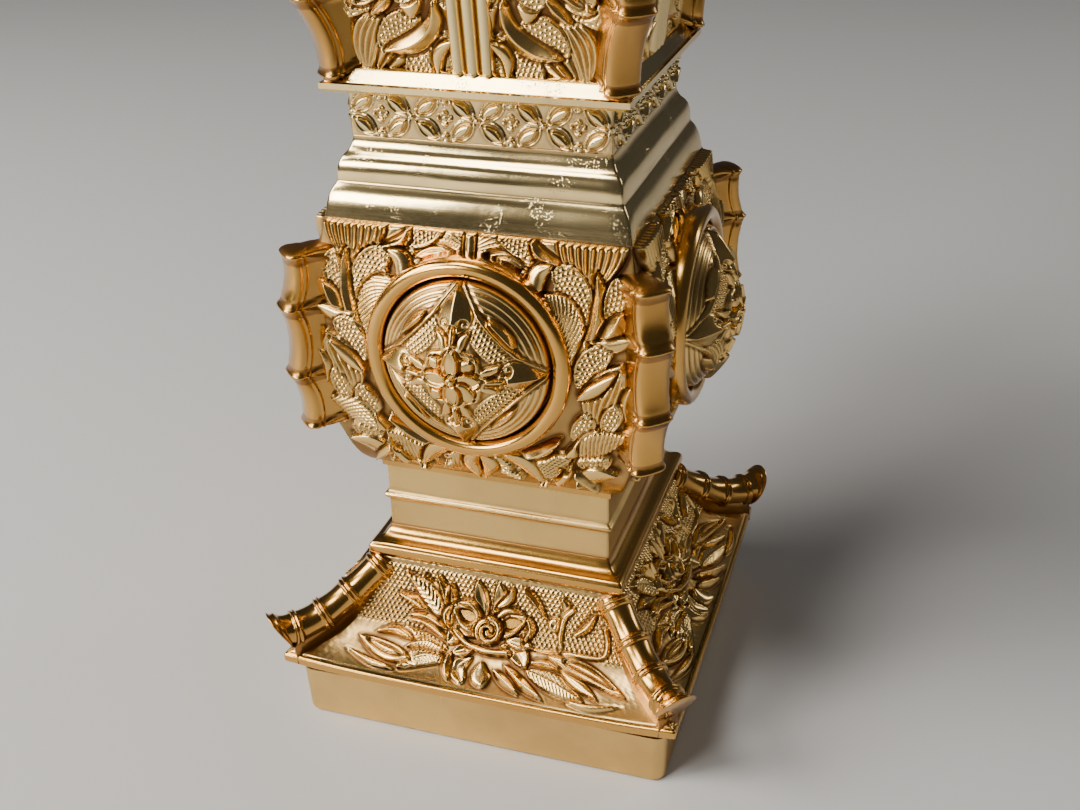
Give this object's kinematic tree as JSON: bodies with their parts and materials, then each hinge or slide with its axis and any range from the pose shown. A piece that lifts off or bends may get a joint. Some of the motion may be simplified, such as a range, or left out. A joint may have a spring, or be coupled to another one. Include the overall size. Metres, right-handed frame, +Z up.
{
  "type": "square altar vase",
  "caption": "Square gilt-brass altar flower vase with bamboo-cane corner fins, belly medallions, flared neck, roof-like base skirt and a lift-out inner water tube.",
  "frame": {"origin": "centre of the plinth's bottom face, on the surface the vase stands on", "axes": "+Z up through the mouth, -Y the front face, +X to the right"},
  "size_m": [0.0638, 0.0638, 0.157],
  "materials": {
    "gilt_relief": "gilt cast relief, burnished high points over a toned ground",
    "gilt_polished": "bright polished gilt",
    "gilt_amber": "gilt under warm amber lacquer",
    "gilt_satin": "satin gilt",
    "liner_brass": "plain spun brass, slightly tarnished",
    "fastener_brass": "turned brass"
  },
  "bodies": {
    "vessel": {"plinth": "gilt_satin", "base_skirt": "gilt_relief", "foot_step": "gilt_amber", "foot_collar": "gilt_satin", "body_shell": "gilt_relief", "shoulder_moulding": "gilt_polished", "lattice_band": "gilt_relief", "neck_shell": "gilt_relief", "mouth_rim": "gilt_polished", "tie_stud": "fastener_brass", "tie_washer": "fastener_brass", "tie_nut": "fastener_brass", "base_rib_1": "gilt_amber", "body_fin_1": "gilt_amber", "medallion_ring_1": "gilt_amber", "medallion_boss_1": "gilt_relief", "neck_fin_1": "gilt_amber", "neck_reeds_1": "gilt_relief", "base_rib_2": "gilt_amber", "body_fin_2": "gilt_amber", "medallion_ring_2": "gilt_amber", "medallion_boss_2": "gilt_relief", "neck_fin_2": "gilt_amber", "neck_reeds_2": "gilt_relief", "base_rib_3": "gilt_amber", "body_fin_3": "gilt_amber", "medallion_ring_3": "gilt_amber", "medallion_boss_3": "gilt_relief", "neck_fin_3": "gilt_amber", "neck_reeds_3": "gilt_relief", "base_rib_4": "gilt_amber", "body_fin_4": "gilt_amber", "medallion_ring_4": "gilt_amber", "medallion_boss_4": "gilt_relief", "neck_fin_4": "gilt_amber", "neck_reeds_4": "gilt_relief"},
    "liner": {"liner_tube": "liner_brass", "liner_flange": "liner_brass"}
  },
  "joints": [
    {"name": "liner_lift", "type": "slide", "parent": "vessel", "child": "liner", "axis": [0, 0, 1], "range_m": [0, 0.12]}
  ]
}
